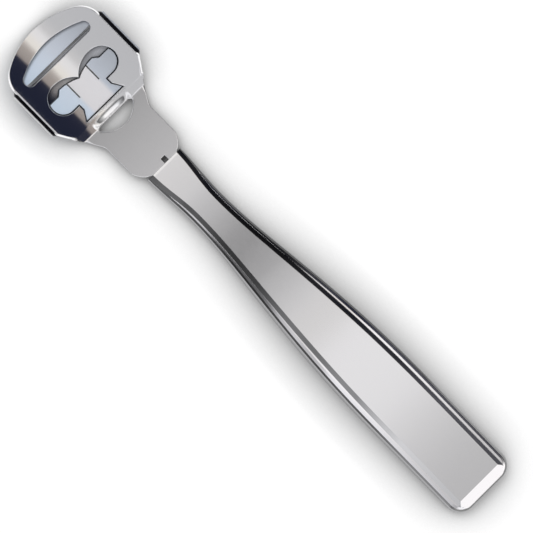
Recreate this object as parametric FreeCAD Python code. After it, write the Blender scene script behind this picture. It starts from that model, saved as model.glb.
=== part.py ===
import FreeCAD, Part

import math
import os

# Callus shaver, in millimetres. A pressed steel handle grips the tang of a curved head plate.
# Under the plate lie a thin replaceable blade and a sole plate, all bent about one axis.
# x runs from the tip of the head to the end of the handle, y across, z up towards the user.
# Everything is drawn with the tip at x = 0, and moved at the end so that the origin lies
# below the middle of the part, on the surface that it rests on.

overall_length = 160.0

# Sheets of the head, from the user's side down. The bowl is the hollow upper face.
bowl_radius = 20.0
plate_thickness = 0.8
blade_thickness = 0.25
sole_thickness = 0.5
sheet_gap = 0.02

# Outline of the head plate, measured on its upper face
head_half_width = 13.75
tip_radius = 21.0
head_corner_radius = 6.0
side_end = 22.6
neck_start = 33.3
neck_half_width = 7.5
neck_fillet = 3.0

# The curve of the head ends in a pressed step up to the flat neck
arch_end = 27.0
crease_length = 1.4
neck_lift = 0.6

# The neck slopes up from there to the handle
neck_rise = 1.2

# Neck and tang
shoulder_start = 42.4
shoulder_bulge = 0.35
tang_front_half_width = 4.35
tang_end_half_width = 3.2
tang_depth = 13.0
lock_hole_length = 1.9
lock_hole_width = 1.35
lock_hole_offset = 0.9

# Window over the cutting edge, shaped like a boat
boat_back = 10.0
boat_depth = 5.6
boat_bend = 2.3
boat_half_span = 9.6
boat_end_bulge = 1.25
boat_quarter_bend = 0.25

# Window with two round lobes, a pointed nib in front and a flared tail behind
nib_x = 16.2
nib_hollow = 1.55
nib_hollow_share = 0.45
lobe_x = 17.7
lobe_reach = 10.6
lobe_front_radius = 4.35
lobe_rear_radius = 3.7
shank_half_width = 4.9
tail_start = 22.9
tail_end = 25.6
tail_half_width = 6.4

# Round-backed hole in the neck
eye_margin = 0.2
eye_half_width = 5.6
eye_depth = 3.8
eye_corner = 0.8

# Raised land of the sole plate, which fills the lobed window
land_clearance = 0.35
land_drop = 0.25
land_front = 16.3
land_nose = 15.2
land_nose_half_width = 5.6
land_shoulder_half_width = 6.9
tongue_half_width = 3.1
tongue_end = 20.05
slit_width = 0.35

# Sole plate and blade
sole_inset = 0.3
sole_half_width = 15.0
sole_side_start = 7.9
sole_side_end = 22.7
sole_side_corner = 1.0
sole_rear = 25.8
sole_rear_half_width = 11.0
mouth_half_width = 11.5
mouth_length = 1.0
edge_x = 9.45
edge_reach = 0.45
blade_half_width = 14.5
blade_length = 13.1
blade_corner = 1.0
bevel_length = 0.8
edge_thickness = 0.04
notch_clearance = 0.3

# Handle. Waist, middle and swell are measured from its front edge, the grip from its end.
handle_front = 46.1
handle_wall = 0.9
tang_clearance = 0.12
front_half_width = 5.75
waist_at = 14.9
waist_half_width = 5.1
middle_at = 36.0
middle_half_width = 6.6
swell_at = 55.7
swell_half_width = 8.5
grip_length = 28.9
grip_half_width = 9.5
end_corner_radius = 4.2
rim_radius = 1.8
rim_flat_turn = 22.5
lip_width = 1.5

# Side view of the handle
crown_at = 48.0
crown_height = 7.5
end_height = 5.6
end_fall = 0.07
belly_front = 16.0
belly_rear = 44.0

# Flat panel that stands slightly proud of the handle's rounded rim. Its sides slope down, and
# the half widths belong to the foot of that slope. One flat bevel ends both panel and rim.
panel_rise = 0.5
panel_front_half_width = 5.2
panel_waist_half_width = 3.95
panel_middle_half_width = 5.2
panel_swell_half_width = 6.7
panel_grip_half_width = 7.6
panel_end_margin = 1.6
panel_corner_radius = 1.2
panel_slope_width = 1.15
panel_slope_depth = 0.48
end_bevel_start = 3.4
end_bevel_angle = 22.0

# Length by which a cutting tool runs past what it cuts
past = 5.0
tolerance = 0.001

plate_under_radius = bowl_radius + plate_thickness
blade_upper_radius = plate_under_radius + sheet_gap
blade_under_radius = blade_upper_radius + blade_thickness
sole_upper_radius = blade_under_radius + sheet_gap
sole_under_radius = sole_upper_radius + sole_thickness
land_radius = bowl_radius + land_drop

# The sole plate touches the ground along its lowest line, so the axis of the head lies this high
axis_height = sole_under_radius
bowl_floor = axis_height - bowl_radius
neck_top = bowl_floor + neck_lift
neck_bottom = neck_top - plate_thickness
neck_begin = arch_end + crease_length
tang_top = neck_top + neck_rise
tang_bottom = tang_top - plate_thickness
handle_front_top = tang_top + tang_clearance + handle_wall
handle_front_bottom = tang_bottom - tang_clearance - handle_wall


def at(x, y, z=0.0):
    return FreeCAD.Vector(x, y, z)


def line(start, end):
    return Part.LineSegment(at(*start), at(*end)).toShape()


def arc(start, through, end):
    return Part.Arc(at(*start), at(*through), at(*end)).toShape()


def on_circle(centre, radius, degrees):
    angle = math.radians(degrees)
    return (centre[0] + radius * math.cos(angle), centre[1] + radius * math.sin(angle))


def smooth(points, first_direction, last_direction):
    curve = Part.BSplineCurve()
    ends = {"InitialTangent": at(*first_direction), "FinalTangent": at(*last_direction)}
    curve.interpolate([at(*point) for point in points], **ends)
    return curve.toShape()


def wire_of(edges):
    return Part.Wire(Part.sortEdges(edges)[0])


def symmetric_face(half):
    # The half outline runs on the +y side, from one point of the middle line to another.
    other = [edge.mirror(at(0, 0), at(0, 1)) for edge in half]
    return Part.Face(wire_of(half + other))


def upright(face, bottom, top):
    body = face.extrude(at(0, 0, top - bottom))
    body.translate(at(0, 0, bottom))
    return body


def widened(outline, reach):
    # A side view, drawn on the middle plane, made into a slab that is wider than the part
    slab = Part.Face(outline).extrude(at(0, 2 * reach, 0))
    slab.translate(at(0, -reach, 0))
    return slab


def curved_sheet(face, upper_radius, thickness):
    # The outline is laid on the cylinder of the sheet's upper face. The sheet grows away
    # from the axis, so that its cut edges stand square to it, as in a blank that was bent.
    start = at(-past, 0, axis_height)
    tube = Part.makeCylinder(upper_radius, neck_start + 2 * past, start, at(1, 0, 0))
    wall = [side for side in tube.Faces if side.Surface.TypeId == "Part::GeomCylinder"][0]
    patch = wall.common(upright(face, axis_height - upper_radius - past, axis_height - past))
    return patch.Faces[0].makeOffsetShape(thickness, tolerance, fill=True)


def curved_cutter(face, upper_radius, depth):
    # The same outline, grown both ways so that it runs past the sheet that it cuts
    return [curved_sheet(face, upper_radius, depth), curved_sheet(face, upper_radius, -past)]


def taper_half_width(x):
    # Half width of the plate between its straight sides and the neck
    share = (x - side_end) / (neck_start - side_end)
    return head_half_width + share * (neck_half_width - head_half_width)


def front_outline(half_width, tip):
    # Tip arc and corner arc, tangent to each other and to the straight side
    radius = tip_radius - tip
    corner = head_corner_radius - tip
    corner_y = half_width - corner
    corner_x = tip_radius - math.sqrt((radius - corner) ** 2 - corner_y ** 2)
    turn = math.degrees(math.atan2(corner_y, corner_x - tip_radius))
    join = on_circle((tip_radius, 0), radius, turn)
    return [
        arc((tip, 0), on_circle((tip_radius, 0), radius, (180 + turn) / 2), join),
        arc(join, on_circle((corner_x, corner_y), corner, (turn + 90) / 2), (corner_x, half_width)),
    ], corner_x


def arched_plate_face():
    front, corner_x = front_outline(head_half_width, 0.0)
    end_half_width = taper_half_width(arch_end)
    return symmetric_face(front + [
        line((corner_x, head_half_width), (side_end, head_half_width)),
        line((side_end, head_half_width), (arch_end, end_half_width)),
        line((arch_end, end_half_width), (arch_end, 0)),
    ])


def boat_face():
    front_y = boat_half_span
    front_x = boat_back - boat_depth + boat_bend
    nose_x = boat_back - boat_depth
    tip_y = boat_half_span + boat_end_bulge
    return symmetric_face([
        arc((nose_x, 0), (nose_x + boat_bend * boat_quarter_bend, front_y / 2), (front_x, front_y)),
        arc((front_x, front_y), ((front_x + boat_back) / 2, tip_y), (boat_back, front_y)),
        line((boat_back, front_y), (boat_back, 0)),
    ])


def lobe_centres():
    front = (lobe_x, lobe_reach - lobe_front_radius)
    rear = (lobe_x, lobe_reach - lobe_rear_radius)
    return front, rear


def lobe_back_and_tail(inset):
    # From the outermost point of the lobe, round its back and along the tail to the middle line
    rear = lobe_centres()[1]
    radius = lobe_rear_radius - inset
    back_x = lobe_x + radius
    shank = shank_half_width - inset
    tail_x = tail_end - inset
    return [
        arc((lobe_x, rear[1] + radius), on_circle(rear, radius, 45), (back_x, rear[1])),
        line((back_x, rear[1]), (back_x, shank)),
        line((back_x, shank), (tail_start, shank)),
        line((tail_start, shank), (tail_x, tail_half_width - inset)),
        line((tail_x, tail_half_width - inset), (tail_x, 0)),
    ]


def lobed_window_face():
    front = lobe_centres()[0]
    start = (lobe_x - lobe_front_radius, front[1])
    top = (lobe_x, lobe_reach)
    nib_through = ((nib_x + start[0] - nib_hollow) / 2, start[1] * nib_hollow_share)
    return symmetric_face([
        arc((nib_x, 0), nib_through, start),
        arc(start, on_circle(front, lobe_front_radius, 135), top),
    ] + lobe_back_and_tail(0.0))


def land_face(inset):
    # The land follows the lobed window, and stands back from it at the front
    front = lobe_centres()[0]
    total = land_clearance + inset
    radius = lobe_front_radius - total
    edge_x_here = land_front + inset
    edge_y = front[1] + math.sqrt(radius ** 2 - (lobe_x - edge_x_here) ** 2)
    shoulder = (edge_x_here, land_shoulder_half_width)
    nose = (land_nose + inset, land_nose_half_width)
    middle = (nib_x + land_clearance + inset, 0)
    hollow = ((nose[0] + middle[0]) / 2 - land_clearance, nose[1] / 2)
    turn = math.degrees(math.atan2(edge_y - front[1], edge_x_here - lobe_x))
    return symmetric_face([
        arc(middle, hollow, nose),
        line(nose, shoulder),
        line(shoulder, (edge_x_here, edge_y)),
        arc((edge_x_here, edge_y), on_circle(front, radius, (turn + 90) / 2), (lobe_x, lobe_reach - total)),
    ] + lobe_back_and_tail(total))


def eye_face():
    start = neck_begin + eye_margin
    end = start + eye_depth
    corner = (start + eye_corner, eye_half_width)
    corner_middle = (start + eye_corner, eye_half_width - eye_corner)
    sag = end - corner[0]
    radius = (eye_half_width ** 2 + sag ** 2) / (2 * sag)
    half_turn = math.degrees(math.asin(eye_half_width / radius)) / 2
    return symmetric_face([
        line((start, 0), (start, corner_middle[1])),
        arc((start, corner_middle[1]), on_circle(corner_middle, eye_corner, 135), corner),
        arc(corner, on_circle((end - radius, 0), radius, half_turn), (end, 0)),
    ])


def crease():
    # Straight rulings lead from the curved section at the end of the arch to the flat neck
    half = taper_half_width(arch_end)
    turn = math.degrees(math.asin(half / bowl_radius))
    middle = (0, axis_height)

    def on_arch(radius, degrees):
        y, z = on_circle(middle, radius, degrees)
        return (arch_end, y, z)

    left, right = -90 - turn, -90 + turn
    inner, outer = bowl_radius, plate_under_radius
    curved = Part.Wire([
        arc(on_arch(inner, left), on_arch(inner, -90), on_arch(inner, right)),
        line(on_arch(inner, right), on_arch(outer, right)),
        arc(on_arch(outer, right), on_arch(outer, -90), on_arch(outer, left)),
        line(on_arch(outer, left), on_arch(inner, left)),
    ])
    width = taper_half_width(neck_begin)
    corners = [(-width, neck_top), (width, neck_top), (width, neck_bottom), (-width, neck_bottom)]
    flat = Part.Wire(Part.makePolygon([at(neck_begin, y, z) for y, z in corners + corners[:1]]))
    return Part.makeLoft([curved, flat], True, True)


def neck_and_tang():
    half = taper_half_width(neck_begin)
    tang_x = handle_front + tang_depth
    shoulder = ((shoulder_start + handle_front) / 2 + shoulder_bulge,
                (neck_half_width + tang_front_half_width) / 2 + shoulder_bulge)
    face = symmetric_face([
        line((neck_begin, 0), (neck_begin, half)),
        line((neck_begin, half), (neck_start, neck_half_width)),
        line((neck_start, neck_half_width), (shoulder_start, neck_half_width)),
        arc((shoulder_start, neck_half_width), shoulder, (handle_front, tang_front_half_width)),
        line((handle_front, tang_front_half_width), (tang_x, tang_end_half_width)),
        line((tang_x, tang_end_half_width), (tang_x, 0)),
    ])
    column = upright(face, 0, axis_height)
    inner_corners = [edge for edge in column.Edges if is_upright_at(edge, neck_start)]
    return column.makeFillet(neck_fillet, inner_corners).common(neck_slab(tang_x))


def neck_slab(tang_x):
    # The side view of neck and tang: sloping up to the handle's front edge, then level
    upper = [(neck_begin, neck_top), (handle_front, tang_top), (tang_x, tang_top)]
    lower = [(x, z - plate_thickness) for x, z in reversed(upper)]
    outline = Part.makePolygon([at(x, 0, z) for x, z in upper + lower + upper[:1]])
    return widened(Part.Wire(outline), head_half_width)


def is_upright_at(edge, x):
    box = edge.BoundBox
    return abs(box.XMin - x) < tolerance and abs(box.XMax - x) < tolerance and box.YLength < tolerance


def lock_hole():
    start = at(handle_front - lock_hole_length + handle_wall / 2, lock_hole_offset - lock_hole_width / 2, 0)
    return Part.makeBox(lock_hole_length, lock_hole_width, axis_height, start)


def head_plate():
    plate = curved_sheet(arched_plate_face(), bowl_radius, plate_thickness)
    for window in (boat_face(), lobed_window_face()):
        plate = plate.cut(curved_cutter(window, bowl_radius, past))
    plate = plate.fuse([crease(), neck_and_tang()])
    plate = plate.cut([upright(eye_face(), 0, axis_height), lock_hole()])
    return plate.removeSplitter()


def front_sole():
    # In front of the mouth the sole lies against the plate, higher than the cutting edge
    half_width = head_half_width * blade_upper_radius / bowl_radius - sole_inset
    front, corner_x = front_outline(half_width, sole_inset)
    rear = edge_x - sheet_gap
    return curved_sheet(symmetric_face(front + [
        line((corner_x, half_width), (rear, half_width)),
        line((rear, half_width), (rear, 0)),
    ]), blade_upper_radius, sole_thickness)


def rear_sole():
    # Behind the mouth the sole carries the blade, and its sides reach out past the plate
    cut = sole_side_corner
    return curved_sheet(symmetric_face([
        line((sole_side_start, 0), (sole_side_start, sole_half_width - cut)),
        line((sole_side_start, sole_half_width - cut), (sole_side_start + cut, sole_half_width)),
        line((sole_side_start + cut, sole_half_width), (sole_side_end - cut, sole_half_width)),
        line((sole_side_end - cut, sole_half_width), (sole_side_end, sole_half_width - cut)),
        line((sole_side_end, sole_half_width - cut), (sole_rear, sole_rear_half_width)),
        line((sole_rear, sole_rear_half_width), (sole_rear, 0)),
    ]), sole_upper_radius, sole_thickness)


def mouth():
    front = edge_x + edge_reach - mouth_length
    return symmetric_face([
        line((front, 0), (front, mouth_half_width)),
        line((front, mouth_half_width), (edge_x + edge_reach, mouth_half_width)),
        line((edge_x + edge_reach, mouth_half_width), (edge_x + edge_reach, 0)),
    ])


def slits():
    length = tongue_end - land_nose + land_clearance
    tools = []
    for side in (-1, 1):
        centre = side * (tongue_half_width + slit_width / 2)
        start = at(tongue_end - length, centre - slit_width / 2, 0)
        tools.append(Part.makeBox(length, slit_width, axis_height, start))
    return tools


def sole_plate():
    full_height = sole_under_radius - land_radius
    land = curved_sheet(land_face(0.0), land_radius, full_height)
    hollow = curved_sheet(land_face(sole_thickness), land_radius + sole_thickness, full_height + past)
    gap = curved_cutter(mouth(), plate_under_radius, past)
    sole = front_sole().fuse([rear_sole(), land])
    return sole.cut([hollow] + gap + slits()).removeSplitter()


def blade_face():
    rear = edge_x + blade_length
    cut = blade_corner
    return symmetric_face([
        line((edge_x, 0), (edge_x, blade_half_width - cut)),
        line((edge_x, blade_half_width - cut), (edge_x + cut, blade_half_width)),
        line((edge_x + cut, blade_half_width), (rear - cut, blade_half_width)),
        line((rear - cut, blade_half_width), (rear, blade_half_width - cut)),
        line((rear, blade_half_width - cut), (rear, 0)),
    ])


def blade():
    strip = curved_sheet(blade_face(), blade_upper_radius, blade_thickness)
    notch = curved_cutter(land_face(-notch_clearance), land_radius, past)
    lowest = blade_under_radius - edge_thickness
    bevel = Part.makeCone(lowest, blade_upper_radius, bevel_length, at(edge_x, 0, axis_height), at(1, 0, 0))
    return strip.cut(notch + [bevel]).removeSplitter()


def handle_outline(widths, end_x, corner, inset):
    # The half widths belong to the front edge, the waist, the middle, the swell and the grip.
    # The side runs level at the front edge, at the waist and at the grip.
    grip_x = overall_length - grip_length
    places = [handle_front + length for length in (0.0, waist_at, middle_at, swell_at)] + [grip_x]
    points = [(place, width - inset) for place, width in zip(places, widths)]
    side = points[-1][1]
    round_x = end_x - corner
    return [
        line((points[0][0], 0), points[0]),
        smooth(points[:2], (1, 0), (1, 0)),
        smooth(points[1:], (1, 0), (1, 0)),
        line(points[-1], (round_x, side)),
        arc((round_x, side), on_circle((round_x, side - corner), corner, 45), (end_x, side - corner)),
        line((end_x, side - corner), (end_x, 0)),
    ]


def body_outline(inset):
    widths = (front_half_width, waist_half_width, middle_half_width, swell_half_width, grip_half_width)
    return handle_outline(widths, overall_length - inset, end_corner_radius - inset, inset)


def panel_outline():
    widths = (panel_front_half_width, panel_waist_half_width, panel_middle_half_width,
              panel_swell_half_width, panel_grip_half_width)
    return handle_outline(widths, overall_length - panel_end_margin, panel_corner_radius, 0.0)


def top_line(lift):
    places = ((0.0, handle_front_top), (crown_at, crown_height))
    points = [(handle_front + place, 0, height + lift) for place, height in places]
    points.append((overall_length, 0, end_height + lift))
    return smooth(points, (1, 0, 0), (1, 0, -end_fall))


def side_slab(top_lift, bottom_lift):
    # The handle's side view, with its top and its underside moved by the two lifts
    front, rear = handle_front, overall_length
    low = handle_front_bottom + bottom_lift
    ground = bottom_lift
    outline = wire_of([
        top_line(top_lift),
        line((rear, 0, end_height + top_lift), (rear, 0, ground)),
        line((rear, 0, ground), (front + belly_rear, 0, ground)),
        smooth([(front + belly_rear, 0, ground), (front + belly_front, 0, low)], (-1, 0, 0), (-1, 0, 0)),
        line((front + belly_front, 0, low), (front, 0, low)),
        line((front, 0, low), (front, 0, handle_front_top + top_lift)),
    ])
    return widened(outline, grip_half_width + past)


def upper_rim(body, lowest):
    # The edges round the top of a handle body, apart from the one across its front
    found = []
    for edge in body.Edges:
        box = edge.BoundBox
        across_front = box.XMax < handle_front + tolerance
        if box.ZMin > lowest and not across_front:
            found.append(edge)
    return found


def eased(body, radius, lowest):
    # The rounding of the rim is drawn as three flats that touch it, each turned from the next
    whole, half = (math.tan(math.radians(angle)) for angle in (rim_flat_turn, rim_flat_turn / 2))
    first_cut = radius * (1 - whole)
    next_cut = radius * (whole - half)
    body = body.makeChamfer(first_cut, upper_rim(body, lowest))
    return body.makeChamfer(next_cut, upper_rim(body, lowest))


def rounded_body(inset, radius, top_lift, bottom_lift):
    face = symmetric_face(body_outline(inset))
    body = upright(face, -past, crown_height + past).common(side_slab(top_lift, bottom_lift))
    body = body.Solids[0]
    lowest = handle_front_bottom + bottom_lift + tolerance
    return eased(body, radius, lowest)


def panel():
    # The panel's body reaches down into the handle's wall
    face = symmetric_face(panel_outline())
    body = upright(face, -past, crown_height + past).common(side_slab(panel_rise, 0.0))
    core = upright(face, -past, crown_height + past).common(side_slab(-handle_wall / 2, 0.0))
    edges = upper_rim(body, handle_front_bottom + tolerance)
    return body.makeChamfer(panel_slope_depth, panel_slope_width, edges).cut(core)


def end_bevel():
    # The wedge above a plane that falls towards the end of the handle
    start = overall_length - end_bevel_start
    height = end_height + end_fall * end_bevel_start + panel_rise
    length = end_bevel_start + past
    drop = length * math.tan(math.radians(end_bevel_angle))
    low, high = height - drop, height + past
    corners = [(start, height), (start + length, low), (start + length, high), (start, high)]
    outline = Part.makePolygon([at(x, 0, z) for x, z in corners + corners[:1]])
    return widened(Part.Wire(outline), grip_half_width + past)


def handle():
    shell = rounded_body(0.0, rim_radius, 0.0, 0.0)
    cavity = rounded_body(handle_wall, rim_radius - handle_wall, -handle_wall, handle_wall)
    slot_face = symmetric_face(body_outline(handle_wall + lip_width))
    slot = upright(slot_face, -past, handle_front_bottom + 2 * handle_wall)
    return shell.cut([cavity, slot]).fuse(panel()).cut(end_bevel()).removeSplitter()


def save(name, shape):
    shape.translate(at(-overall_length / 2, 0))
    solid = shape.Solids[0]
    box = solid.optimalBoundingBox(True, False)
    print(name, len(shape.Solids), solid.isValid(), round(solid.Volume, 2), box)
    solid.exportStep(os.path.join("parts", name + ".step"))


os.makedirs("parts", exist_ok=True)
save("handle", handle())
save("head_plate", head_plate())
save("sole_plate", sole_plate())
save("blade", blade())
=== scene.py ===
import math

import bpy
from mathutils import Matrix, Vector


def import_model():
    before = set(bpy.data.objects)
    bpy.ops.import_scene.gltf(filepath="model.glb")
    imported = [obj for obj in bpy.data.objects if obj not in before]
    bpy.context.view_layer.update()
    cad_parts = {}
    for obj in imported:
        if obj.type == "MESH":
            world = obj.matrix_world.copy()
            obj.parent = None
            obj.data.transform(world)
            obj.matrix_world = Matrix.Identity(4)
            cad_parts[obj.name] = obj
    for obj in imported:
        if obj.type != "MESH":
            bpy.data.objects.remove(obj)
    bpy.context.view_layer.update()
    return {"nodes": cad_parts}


# x runs along the shaver from the tip of the head, y across it and z up. Lengths are in
# millimetres where they are multiplied by MM, or where a name or a comment says so.
MM = 0.001
ENDS = (-80, 80)

# The photograph: its frame, its scale along the shaver, and how the shaver lies in it.
# The camera's distance is in metres, and its turn and lean are in degrees.
FRAME_PX = 533
PX_PER_MM = 4.056
AXIS_TURN = 45.4
FRAME_MIDDLE = (1.85, 0.27, 3.0)
CAMERA_DISTANCE = 1.2
CAMERA_LEAN_X = -3.0
CAMERA_LEAN_Y = -4.0
CAMERA_CLIP = 0.01
SENSOR_MM = 36.0

# A soft key light that leans towards the head's side, in degrees
KEY_STRENGTH = 1.3
KEY_SPREAD = 30.0
KEY_LEAN = 24.0

# The floor lights the steel with one colour. What the camera and the reflections see of it is
# another colour and a glow that fades where something stands near, a painted contact shadow.
# Its half size is in metres.
FLOOR_HALF = 0.6
FLOOR_COLOUR = (0.9, 0.9, 0.9)
SEEN_FLOOR_COLOUR = (0.3, 0.3, 0.3)
FLOOR_GLOW = 0.78
CONTACT_REACH = 11.0

# What the steel reflects, by direction. The ceiling shows where a direction leans little along x,
# and the walls where it leans more. Their colours go by the lean along y, from -y at 0 to +y at 1.
CEILING = [
    (0.0, (0.51, 0.51, 0.525)),
    (0.30, (0.52, 0.52, 0.53)),
    (0.42, (0.60, 0.59, 0.59)),
    (0.50, (0.80, 0.785, 0.785)),
    (0.56, (0.82, 0.80, 0.79)),
    (0.62, (0.82, 0.78, 0.73)),
    (0.66, (0.82, 0.78, 0.72)),
    (0.72, (0.44, 0.39, 0.36)),
    (0.76, (0.34, 0.30, 0.27)),
    (0.84, (0.30, 0.26, 0.24)),
    (0.862, (0.02, 0.022, 0.04)),
    (1.0, (0.015, 0.018, 0.035)),
]
WALLS = [
    (0.0, (0.80, 0.80, 0.83)),
    (0.47, (0.86, 0.86, 0.88)),
    (0.535, (0.90, 0.885, 0.89)),
    (0.60, (1.0, 0.99, 0.98)),
    (0.79, (1.0, 0.99, 0.98)),
    (0.85, (0.40, 0.39, 0.40)),
    (0.88, (0.02, 0.022, 0.04)),
    (1.0, (0.015, 0.018, 0.035)),
]
CEILING_LEAN = (0.035, 0.05)

# How bright both are, by the lean along x, from -x at 0 to +x at 1
GAIN = [
    (0.0, 0.15), (0.025, 0.15), (0.04, 1.1), (0.19, 1.1), (0.25, 0.50), (0.35, 0.22),
    (0.40, 0.12), (0.43, 0.14), (0.442, 0.64), (0.46, 0.70), (0.485, 0.98), (0.505, 0.98),
    (0.53, 1.06), (0.585, 1.04), (0.62, 0.62), (0.75, 0.50), (0.81, 1.15), (0.94, 1.15),
    (0.96, 0.15), (1.0, 0.15),
]

# One plain grey in the two far corners beyond the tip, off the middle
CORNER_COLOUR = (0.50, 0.50, 0.51)
CORNER_LEAN = (-0.40, -0.55)
CORNER_MIDDLE = 0.45
CORNER_SOFT = 0.1

# The steel's grain, as noise scales per metre, with its detail and its depth in metres
GRAIN_STRETCH = (60.0, 4000.0, 4000.0)
GRAIN_DETAIL = 4.0
GRAIN_DEPTH = 0.00002
SAMPLES = 8

# Painted shade: the colour of dark shadow bands painted along the two sides of the blade and of
# the sole plate, and of the shade painted into narrow gaps
PAINTED_SHADE = (0.012, 0.012, 0.016)
SHADOW_BAND = (13.7, 14.95)
SHADOW_BAND_SOFT = 0.02

# A painted highlight on the middle of the sole plate's raised land
LAND_X = (-66.5, -53)
LAND_Y = (-3.8, 3.8)
LAND_HIGHLIGHT = (0.78, 0.77, 0.79)
LAND_SOFT = 1.0

# Beside the middle, the crease behind the head is shaded as one bend. The lean is the sideways
# part of its normal at the two places across.
CREASE_X = (-53.7, -51.1)
CREASE_SOFT = 0.4
CREASE_BESIDE = 5.2
CREASE_ACROSS = (-8.5, 5.2)
CREASE_LEAN = (0.42, -0.33)

# Cosine of the largest angle between two neighbouring faces of the handle's panel. The slopes of
# the groove round it and of the rim's outer edge, as the upward part of a normal. The least
# sideways part of a normal in the groove.
PANEL_TURN = 0.97
GROOVE_TILT = (0.90, 0.95)
GROOVE_SIDEWAYS = 0.3
RIM_TILT = (0.55, 0.85)


def mm(*values):
    return Vector([value * MM for value in values])


def grey(value):
    return (value, value, value)


def even(value):
    # A profile that is the same from one end to the other
    return [(at, value) for at in ENDS]


def add_camera():
    across = FRAME_PX / PX_PER_MM * MM
    data = bpy.data.cameras.new("camera")
    data.sensor_width = SENSOR_MM
    data.lens = SENSOR_MM * CAMERA_DISTANCE / across
    data.clip_start = CAMERA_CLIP
    data.dof.use_dof = False
    lean_x, lean_y = math.radians(CAMERA_LEAN_X), math.radians(CAMERA_LEAN_Y)
    back = Vector((math.tan(lean_x), math.tan(lean_y), 1.0)).normalized()
    turn = math.radians(AXIS_TURN)
    up = Vector((-math.sin(turn), math.cos(turn), 0.0))
    up = (up - up.dot(back) * back).normalized()
    right = up.cross(back)
    place = Matrix.Translation(mm(*FRAME_MIDDLE) + back * CAMERA_DISTANCE)
    camera = bpy.data.objects.new("camera", data)
    camera.matrix_world = place @ Matrix((right, up, back)).transposed().to_4x4()
    bpy.context.scene.collection.objects.link(camera)
    bpy.context.scene.camera = camera


class Nodes:
    """A small helper that makes shader nodes and joins them."""

    def __init__(self, tree):
        self.tree = tree
        self.tree.nodes.clear()

    def add(self, kind, inputs=None, **settings):
        node = self.tree.nodes.new(kind)
        for name, value in settings.items():
            setattr(node, name, value)
        for name, value in (inputs or {}).items():
            socket = node.inputs[name]
            if isinstance(value, bpy.types.NodeSocket):
                self.tree.links.new(value, socket)
            else:
                socket.default_value = value
        return node

    def math(self, operation, *values):
        return self.add("ShaderNodeMath", dict(enumerate(values)), operation=operation).outputs[0]

    def spread(self, value, low, high):
        # From zero at low to one at high
        inputs = {"Value": value, "From Min": low, "From Max": high}
        return self.add("ShaderNodeMapRange", inputs).outputs["Result"]

    def within(self, value, low, high, soft):
        # One between low and high, and falling to zero over the soft width inside each of them
        rising = self.spread(value, low, low + soft)
        return self.math("MULTIPLY", rising, self.spread(value, high, high - soft))

    def within_mm(self, value, span, soft):
        low, high = span
        return self.within(value, low * MM, high * MM, soft * MM)

    def ramp(self, factor, stops):
        node = self.add("ShaderNodeValToRGB", {"Fac": factor})
        elements = node.color_ramp.elements
        while len(elements) > 1:
            elements.remove(elements[-1])
        elements[0].position = stops[0][0]
        elements[0].color = (*stops[0][1], 1.0)
        for position, colour in stops[1:]:
            elements.new(position).color = (*colour, 1.0)
        return node.outputs["Color"]

    def profile(self, value, stops):
        # Stops of colours against millimetres along an axis
        low, high = stops[0][0], stops[-1][0]
        share = self.spread(value, low * MM, high * MM)
        return self.ramp(share, [((at - low) / (high - low), shade) for at, shade in stops])

    def mix(self, share, first, second, blend="MIX"):
        inputs = {0: share, 6: first, 7: second}
        node = self.add("ShaderNodeMix", inputs, data_type="RGBA", blend_type=blend)
        return node.outputs[2]

    def axes(self, vector):
        return self.add("ShaderNodeSeparateXYZ", {"Vector": vector}).outputs


def add_world():
    world = bpy.data.worlds.new("studio")
    world.use_nodes = True
    bpy.context.scene.world = world
    nodes = Nodes(world.node_tree)
    axes = nodes.axes(nodes.add("ShaderNodeTexCoord").outputs["Generated"])
    across = nodes.spread(axes["Y"], -1.0, 1.0)
    along = nodes.spread(axes["X"], -1.0, 1.0)
    gain = nodes.ramp(along, [(at, grey(value)) for at, value in GAIN])
    aside = nodes.spread(nodes.math("ABSOLUTE", axes["X"]), *CEILING_LEAN)
    colour = nodes.mix(aside, nodes.ramp(across, CEILING), nodes.ramp(across, WALLS))
    colour = nodes.mix(1.0, colour, gain, blend="MULTIPLY")
    middle = nodes.within(axes["Y"], -CORNER_MIDDLE, CORNER_MIDDLE, CORNER_SOFT)
    beyond = nodes.spread(axes["X"], *CORNER_LEAN)
    corner = nodes.math("MULTIPLY", beyond, nodes.math("SUBTRACT", 1.0, middle))
    colour = nodes.mix(corner, colour, (*CORNER_COLOUR, 1.0))
    light = nodes.add("ShaderNodeBackground", {"Color": colour, "Strength": 1.0})
    nodes.add("ShaderNodeOutputWorld", {"Surface": light.outputs[0]})


def add_key_light():
    # It casts the soft shadow, and stays out of the reflections in the steel
    data = bpy.data.lights.new("key", "SUN")
    data.energy = KEY_STRENGTH
    data.angle = math.radians(KEY_SPREAD)
    lamp = bpy.data.objects.new("key", data)
    lean = math.radians(KEY_LEAN)
    towards = Vector((-math.sin(lean), 0.0, math.cos(lean)))
    lamp.rotation_euler = towards.to_track_quat("Z", "Y").to_euler()
    lamp.visible_glossy = False
    bpy.context.scene.collection.objects.link(lamp)


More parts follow.
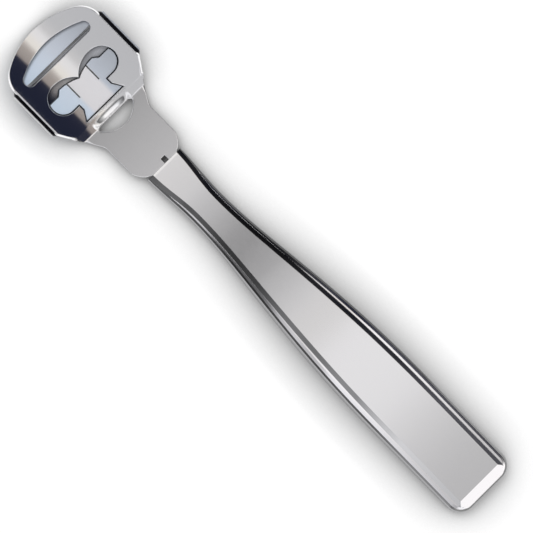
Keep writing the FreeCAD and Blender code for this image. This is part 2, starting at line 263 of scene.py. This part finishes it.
def floor_material():
    material = bpy.data.materials.new("floor")
    material.use_nodes = True
    nodes = Nodes(material.node_tree)
    paper = nodes.add("ShaderNodeBsdfDiffuse", {"Color": (*FLOOR_COLOUR, 1.0)})
    seen_paper = nodes.add("ShaderNodeBsdfDiffuse", {"Color": (*SEEN_FLOOR_COLOUR, 1.0)})
    # The glow dims by ambient occlusion near the shaver: a painted contact shadow on the floor
    reach = {"Distance": CONTACT_REACH * MM}
    openness = nodes.add("ShaderNodeAmbientOcclusion", reach, samples=SAMPLES).outputs["AO"]
    strength = nodes.math("MULTIPLY", nodes.math("POWER", openness, 2.0), FLOOR_GLOW)
    glow = nodes.add("ShaderNodeEmission", {"Color": (1.0, 1.0, 1.0, 1.0), "Strength": strength})
    lit = nodes.add("ShaderNodeAddShader", {0: seen_paper.outputs[0], 1: glow.outputs[0]})
    path = nodes.add("ShaderNodeLightPath").outputs
    seen = nodes.math("MAXIMUM", path["Is Camera Ray"], path["Is Glossy Ray"])
    seen = nodes.math("MAXIMUM", seen, path["Is Transmission Ray"])
    mixed = nodes.add("ShaderNodeMixShader", {0: seen, 1: paper.outputs[0], 2: lit.outputs[0]})
    nodes.add("ShaderNodeOutputMaterial", {"Surface": mixed.outputs[0]})
    return material


def add_floor():
    signs = [(-1, -1), (1, -1), (1, 1), (-1, 1)]
    corners = [(x * FLOOR_HALF, y * FLOOR_HALF, 0.0) for x, y in signs]
    mesh = bpy.data.meshes.new("floor")
    mesh.from_pydata(corners, [], [(0, 1, 2, 3)])
    mesh.materials.append(floor_material())
    floor = bpy.data.objects.new("floor", mesh)
    bpy.context.scene.collection.objects.link(floor)


def smooth_crease(nodes, axes, normal):
    # Puts the normal of one bend in place of the crease's own
    beside = nodes.math("ABSOLUTE", axes["Y"])
    share = nodes.math(
        "MULTIPLY",
        nodes.within_mm(axes["X"], CREASE_X, CREASE_SOFT),
        nodes.spread(beside, CREASE_BESIDE * MM, (CREASE_BESIDE + 1) * MM),
    )
    lean = nodes.add("ShaderNodeMapRange", {
        "Value": axes["Y"],
        "From Min": CREASE_ACROSS[0] * MM, "From Max": CREASE_ACROSS[1] * MM,
        "To Min": CREASE_LEAN[0], "To Max": CREASE_LEAN[1],
    })
    bend = nodes.add("ShaderNodeCombineXYZ", {"Y": lean.outputs["Result"], "Z": 1.0})
    mixed = nodes.add(
        "ShaderNodeMix", {0: share, 4: normal, 5: bend.outputs[0]}, data_type="VECTOR",
    )
    unit = nodes.add("ShaderNodeVectorMath", {0: mixed.outputs[1]}, operation="NORMALIZE")
    return unit.outputs[0]


def steel(name, colour, roughness, grain, relief=0.05, edge=even(0.15), metallic=1.0,
          across=None, land=False, shadow_bands=False, gap_shade=0.0, crease=False):
    # Grain runs along x. The edge profile is the radius that rounds off the edges, by the place
    # along x. The colour is one colour or a profile along x, and the profile across takes its
    # place where one is given. Asked for, the middle of the raised land gets a painted highlight,
    # the two sides get dark bands of painted shadow, and narrow gaps get painted shade, whose
    # reach is given in millimetres.
    material = bpy.data.materials.new(name)
    material.use_nodes = True
    nodes = Nodes(material.node_tree)
    place = nodes.add("ShaderNodeTexCoord").outputs["Object"]
    axes = nodes.axes(place)
    stretched = nodes.add("ShaderNodeMapping", {"Vector": place, "Scale": GRAIN_STRETCH})
    lines = nodes.add("ShaderNodeTexNoise", {
        "Vector": stretched.outputs[0], "Scale": 1.0, "Detail": GRAIN_DETAIL,
    }).outputs["Fac"]
    rough = nodes.math("MULTIPLY_ADD", lines, grain, roughness)
    radius = nodes.profile(axes["X"], [(at, grey(size)) for at, size in edge])
    rounding = nodes.add(
        "ShaderNodeBevel", {"Radius": nodes.math("MULTIPLY", radius, MM)}, samples=SAMPLES,
    )
    normal = nodes.add("ShaderNodeBump", {
        "Height": lines, "Strength": relief, "Distance": GRAIN_DEPTH,
        "Normal": rounding.outputs["Normal"],
    }).outputs["Normal"]
    if crease:
        normal = smooth_crease(nodes, axes, normal)
    if across:
        base = nodes.profile(axes["Y"], across)
    elif isinstance(colour, list):
        base = nodes.profile(axes["X"], colour)
    else:
        base = (*colour, 1.0)
    # A painted highlight on the middle of the raised land
    if land:
        share = nodes.math(
            "MULTIPLY",
            nodes.within_mm(axes["X"], LAND_X, LAND_SOFT),
            nodes.within_mm(axes["Y"], LAND_Y, LAND_SOFT),
        )
        base = nodes.mix(share, base, (*LAND_HIGHLIGHT, 1.0))
    # Painted shadow: dark bands along the two sides, in the gap beside the head plate's edges
    if shadow_bands:
        mask = nodes.within_mm(nodes.math("ABSOLUTE", axes["Y"]), SHADOW_BAND, SHADOW_BAND_SOFT)
        base = nodes.mix(mask, base, (*PAINTED_SHADE, 1.0))
    # Painted shade: narrow gaps and crevices darken by ambient occlusion
    if gap_shade:
        reach = {"Distance": gap_shade * MM}
        openness = nodes.add("ShaderNodeAmbientOcclusion", reach, samples=SAMPLES).outputs["AO"]
        base = nodes.mix(nodes.math("POWER", openness, 2.0), (*PAINTED_SHADE, 1.0), base)
    shader = nodes.add("ShaderNodeBsdfPrincipled", {
        "Base Color": base, "Metallic": metallic, "Roughness": rough, "Normal": normal,
    })
    nodes.add("ShaderNodeOutputMaterial", {"Surface": shader.outputs[0]})
    return material


def edges_of(mesh, face):
    # Pairs of corner places, so that two faces that meet share one even where the mesh is split
    corners = [mesh.vertices[index].co.to_tuple(7) for index in face.vertices]
    return [frozenset(pair) for pair in zip(corners, corners[1:] + corners[:1])]


def panel_and_groove(mesh):
    # The panel is all that joins the handle's highest face without a sharp edge. The groove
    # round it is the sloping faces that join the panel.
    by_edge = {}
    for face in mesh.polygons:
        for edge in edges_of(mesh, face):
            by_edge.setdefault(edge, []).append(face)
    highest = max(mesh.polygons, key=lambda face: face.center.z)
    low, high = GROOVE_TILT
    panel, groove = {highest.index}, set()
    queue = [highest]
    while queue:
        face = queue.pop()
        for other in [found for edge in edges_of(mesh, face) for found in by_edge[edge]]:
            if other.index in panel or other.index in groove:
                continue
            if face.index in panel and other.normal.dot(face.normal) > PANEL_TURN:
                panel.add(other.index)
            elif low < other.normal.z < high and abs(other.normal.y) > GROOVE_SIDEWAYS:
                groove.add(other.index)
            else:
                continue
            queue.append(other)
    return panel, groove


def handle_looks():
    # In the order of the slots that paint_handle gives to the faces
    panel = (0.80, 0.80, 0.81)
    return [
        steel("handle_steel", (0.93, 0.92, 0.93), 0.07, 0.04, edge=even(0.25)),
        # A painted highlight: the panel's first half millimetre at the front is painted white
        steel(
            "panel_steel",
            [(-34, grey(1.0)), (-33.5, grey(1.0)), (-33.4, panel), (80, panel)],
            0.09, 0.04, relief=0.2,
        ),
        # Painted reflection: the groove round the panel is near black at the front, light grey
        # near the end
        steel(
            "groove_steel",
            [
                (-34, grey(0.16)), (-14, grey(0.16)), (5, grey(0.28)), (40, grey(0.3)),
                (56, grey(0.85)), (80, grey(0.85)),
            ],
            0.1, 0.05, edge=even(0.3),
        ),
        # Painted reflection: the rim's outer slope is nearly black, a little lighter near the
        # handle's end
        steel(
            "rim_steel",
            [
                (-34, grey(0.12)), (48, grey(0.12)), (58, grey(0.25)), (75, grey(0.3)),
                (80, grey(0.2)),
            ],
            0.1, 0.05,
        ),
        # Painted shade: the handle's steep sides are a darker grey than its top
        steel("side_steel", (0.42, 0.42, 0.43), 0.18, 0.05),
    ]


def paint_handle(mesh):
    low, high = RIM_TILT
    rim = {face.index for face in mesh.polygons if low < face.normal.z < high}
    sides = {face.index for face in mesh.polygons if face.normal.z <= low}
    for slot, faces in enumerate((*panel_and_groove(mesh), rim, sides), start=1):
        for index in faces:
            mesh.polygons[index].material_index = slot


def dress(frame):
    head_edge = [(-80, 0.25), (-55.5, 0.25), (-54, 0.9), (-51, 0.9), (-49.5, 0.25), (-20, 0.25)]
    # Painted light across the sole plate: pale blue towards -y, darker grey towards +y, plain grey
    # beyond the -y edge
    pale, outer = (0.74, 0.86, 1.0), grey(0.7)
    sole_painted_light = [
        (-15.4, outer), (-15, outer), (-14.8, pale), (-9, pale),
        (0, (0.60, 0.65, 0.73)), (9, (0.47, 0.50, 0.55)),
    ]
    looks = {
        "handle": handle_looks(),
        "head_plate": [
            steel("head_steel", (0.92, 0.92, 0.93), 0.08, 0.03, edge=head_edge, crease=True),
        ],
        "sole_plate": [
            steel(
                "sole_steel", PAINTED_SHADE, 0.4, 0.05, metallic=0.25, across=sole_painted_light,
                land=True, shadow_bands=True, gap_shade=1.0,
            ),
        ],
        "blade": [steel("blade_steel", (0.62, 0.63, 0.66), 0.15, 0.05, shadow_bands=True, gap_shade=1.5)],
    }
    for name, materials in looks.items():
        piece = frame["nodes"][name]
        piece.data.materials.clear()
        for material in materials:
            piece.data.materials.append(material)
    paint_handle(frame["nodes"]["handle"].data)


def main():
    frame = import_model()
    bpy.context.scene.view_settings.view_transform = "Standard"
    add_camera()
    add_world()
    add_key_light()
    add_floor()
    dress(frame)


main()
